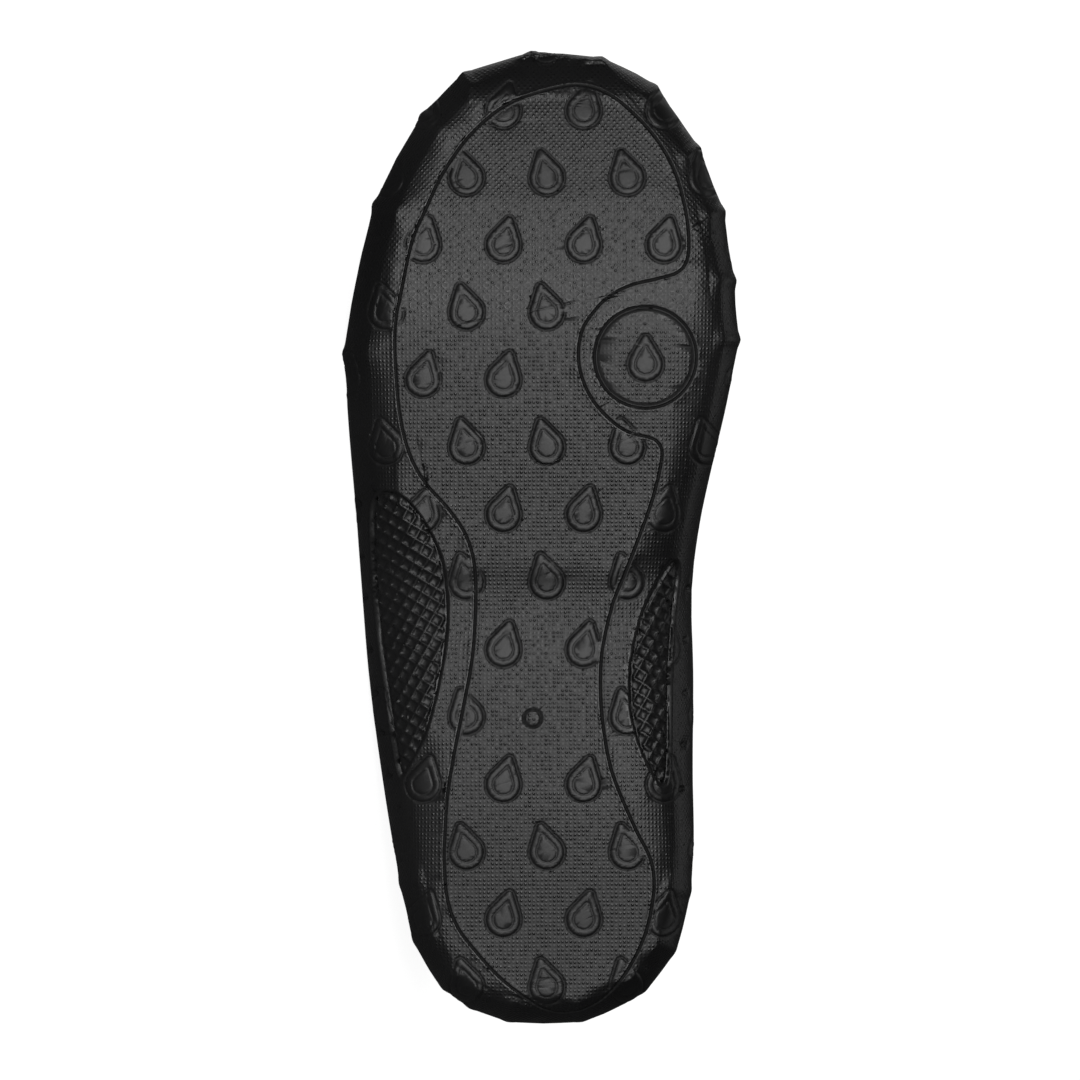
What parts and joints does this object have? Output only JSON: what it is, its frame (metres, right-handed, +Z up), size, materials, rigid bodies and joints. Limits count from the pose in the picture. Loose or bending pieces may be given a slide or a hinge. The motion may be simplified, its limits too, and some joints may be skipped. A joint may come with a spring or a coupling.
{
  "type": "water shoe",
  "caption": "Slip-on water shoe for the right foot, lying on its outer side: a wrap-round rubber outsole under a soft hollow upper with a bound collar.",
  "frame": {"origin": "middle of the shoe's box, on the floor that it lies on", "axes": "-X to the toe, -Y out of the tread, +Z up to the inner side of the foot"},
  "size_m": [0.2494, 0.089, 0.0997],
  "materials": {
    "rubber": "matt moulded rubber with a fine weave relief",
    "knit": "fine stretch knit over thin foam",
    "footbed": "brushed fabric over foam",
    "tape": "ribbed elastic tape"
  },
  "bodies": {
    "root": {"outsole": "rubber", "upper": "knit", "insole": "footbed", "collar_binding": "tape"}
  },
  "joints": []
}
